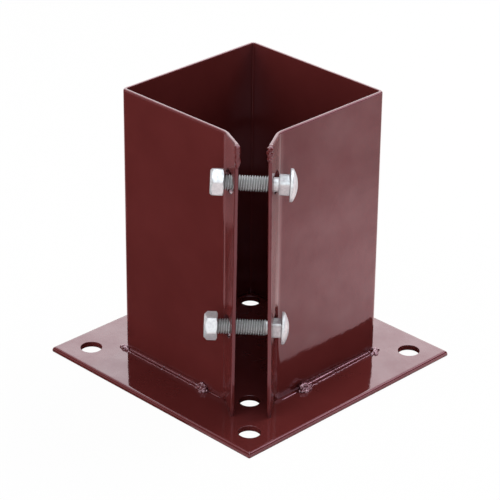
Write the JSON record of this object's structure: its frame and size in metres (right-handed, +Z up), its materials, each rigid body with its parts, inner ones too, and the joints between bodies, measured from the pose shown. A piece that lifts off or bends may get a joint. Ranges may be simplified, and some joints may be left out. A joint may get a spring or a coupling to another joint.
{
  "type": "timber post base",
  "caption": "Bolt-down base for a square timber post: drilled square plate with a welded folded sleeve, open at one corner where coach bolts clamp its flanges.",
  "frame": {"origin": "centre of the base plate's underside", "axes": "+Z up along the sleeve and the post; the plate's sides lie along X and Y, and the sleeve's open corner with its two bolts points towards +X -Y"},
  "size_m": [0.15, 0.15, 0.153],
  "materials": {
    "oxide_paint": "glossy oxide-red paint over steel and welds",
    "zinc": "bright zinc plate"
  },
  "bodies": {
    "root": {"base_plate": "oxide_paint", "sleeve": "oxide_paint", "weld_front_left": "oxide_paint", "weld_front_right": "oxide_paint", "weld_back_left": "oxide_paint", "weld_back_right": "oxide_paint", "edge_weld_left": "oxide_paint", "edge_weld_right": "oxide_paint", "coach_bolt_lower": "zinc", "coach_bolt_upper": "zinc", "nut_lower": "zinc", "nut_upper": "zinc"}
  },
  "joints": []
}
